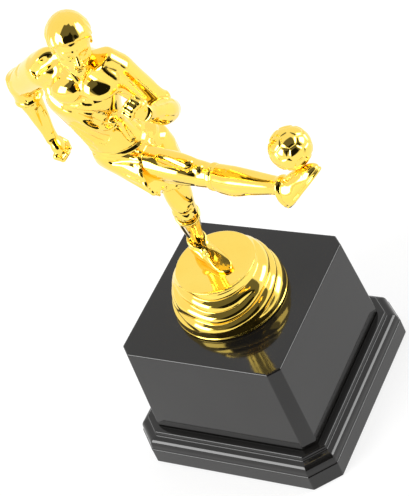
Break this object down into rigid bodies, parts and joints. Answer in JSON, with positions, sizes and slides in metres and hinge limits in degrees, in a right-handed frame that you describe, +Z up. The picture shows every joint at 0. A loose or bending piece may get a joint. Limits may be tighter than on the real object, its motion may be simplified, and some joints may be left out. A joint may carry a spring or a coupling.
{
  "type": "figure trophy",
  "caption": "Gold football player striking a ball, on a rolled riser bolted to a tall square black base with a stepped skirt.",
  "frame": {"origin": "middle of the felt's resting face, on the stud's axis", "axes": "+Z up along the stud, +X the way the player kicks, -Y the front of the base"},
  "size_m": [0.1404, 0.1028, 0.2562],
  "materials": {
    "metallised_gold": "vacuum-metallised moulded plastic, mirror-bright warm gold lacquer",
    "black_gloss_plastic": "moulded plastic, polished black",
    "cover_board": "plain black sheet",
    "felt": "dark self-adhesive felt",
    "cast_iron": "as cast",
    "zinc_plated_steel": "bright zinc plate",
    "brass": "turned"
  },
  "bodies": {
    "base": {"plinth_block": "black_gloss_plastic", "plinth_skirt": "black_gloss_plastic", "bottom_cover": "cover_board", "cover_screw_1": "zinc_plated_steel", "cover_screw_2": "zinc_plated_steel", "cover_screw_3": "zinc_plated_steel", "cover_screw_4": "zinc_plated_steel", "felt_pad": "felt", "ballast_block": "cast_iron"},
    "figure": {"riser_mound": "metallised_gold", "standing_boot": "metallised_gold", "standing_sock": "metallised_gold", "standing_thigh": "metallised_gold", "kicking_thigh": "metallised_gold", "kicking_sock": "metallised_gold", "kicking_boot": "metallised_gold", "shorts": "metallised_gold", "shirt": "metallised_gold", "head": "metallised_gold", "right_sleeve": "metallised_gold", "right_forearm": "metallised_gold", "right_hand": "metallised_gold", "left_sleeve": "metallised_gold", "left_forearm": "metallised_gold", "left_hand": "metallised_gold", "ball": "metallised_gold", "threaded_stud": "zinc_plated_steel", "plain_washer": "zinc_plated_steel", "lock_washer": "zinc_plated_steel", "hex_nut": "zinc_plated_steel", "riser_insert": "brass"}
  },
  "joints": [
    {"name": "figure_turn", "type": "hinge", "parent": "base", "child": "figure", "pos_m": [0, 0, 0.06775], "axis": [0, 0, 1], "continuous": true}
  ]
}
